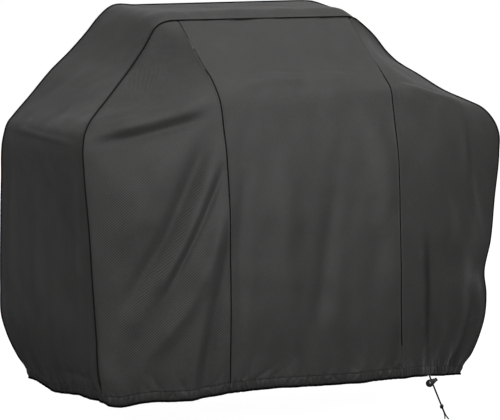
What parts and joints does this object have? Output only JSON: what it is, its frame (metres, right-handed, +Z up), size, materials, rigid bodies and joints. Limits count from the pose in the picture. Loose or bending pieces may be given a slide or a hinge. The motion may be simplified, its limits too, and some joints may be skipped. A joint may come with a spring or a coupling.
{
  "type": "grill cover",
  "caption": "Fitted fabric cover for a gas grill with sloping shoulders, a bulging front, piped edges and a drawcord hem closed by a sliding cord lock.",
  "frame": {"origin": "middle of the underside of the flat top, where the cover rests on the grill's hood", "axes": "+Z up, -Y towards the front, +X to the right as seen from the front"},
  "size_m": [1.477, 0.7783, 1.3105],
  "materials": {
    "cover_fabric": "coated Oxford weave, charcoal, low sheen",
    "piping_fabric": "black bias strip, smooth",
    "hem_fabric": "coated Oxford weave, folded and stitched",
    "filler_cord": "twisted cotton",
    "seam_tape": "thin bonded film, satin",
    "thread": "polyester thread",
    "drawcord": "braided polyester",
    "lock_plastic": "moulded, semi-gloss",
    "button_plastic": "moulded, satin",
    "spring_steel": "drawn wire"
  },
  "bodies": {
    "cover": {"front_centre_panel": "cover_fabric", "front_left_panel": "cover_fabric", "front_right_panel": "cover_fabric", "back_panel": "cover_fabric", "side_and_top_strip": "cover_fabric", "left_seam_tape": "seam_tape", "right_seam_tape": "seam_tape", "front_piping_sleeve": "piping_fabric", "front_piping_filler": "filler_cord", "back_piping_sleeve": "piping_fabric", "back_piping_filler": "filler_cord", "hem_casing": "hem_fabric", "cord_exit_patch": "hem_fabric", "cord_exit_buttonhole": "thread", "hem_drawcord": "drawcord", "cord_strand_front": "drawcord", "cord_strand_back": "drawcord", "end_knot": "drawcord", "cord_tail_front": "drawcord", "cord_tail_back": "drawcord"},
    "cord_lock": {"lock_barrel": "lock_plastic", "lock_spring": "spring_steel"},
    "lock_button": {"lock_plunger": "button_plastic"}
  },
  "joints": [
    {"name": "lock_slide", "type": "slide", "parent": "cover", "child": "cord_lock", "axis": [0.4226, 0, -0.9063], "range_m": [-0.011, 0.07]},
    {"name": "button_press", "type": "slide", "parent": "cord_lock", "child": "lock_button", "axis": [-0.9063, 0, -0.4226], "range_m": [0, 0.0035], "stiffness_N_per_m": 600, "springref_m": -0.008, "deforming": ["lock_spring"]}
  ]
}
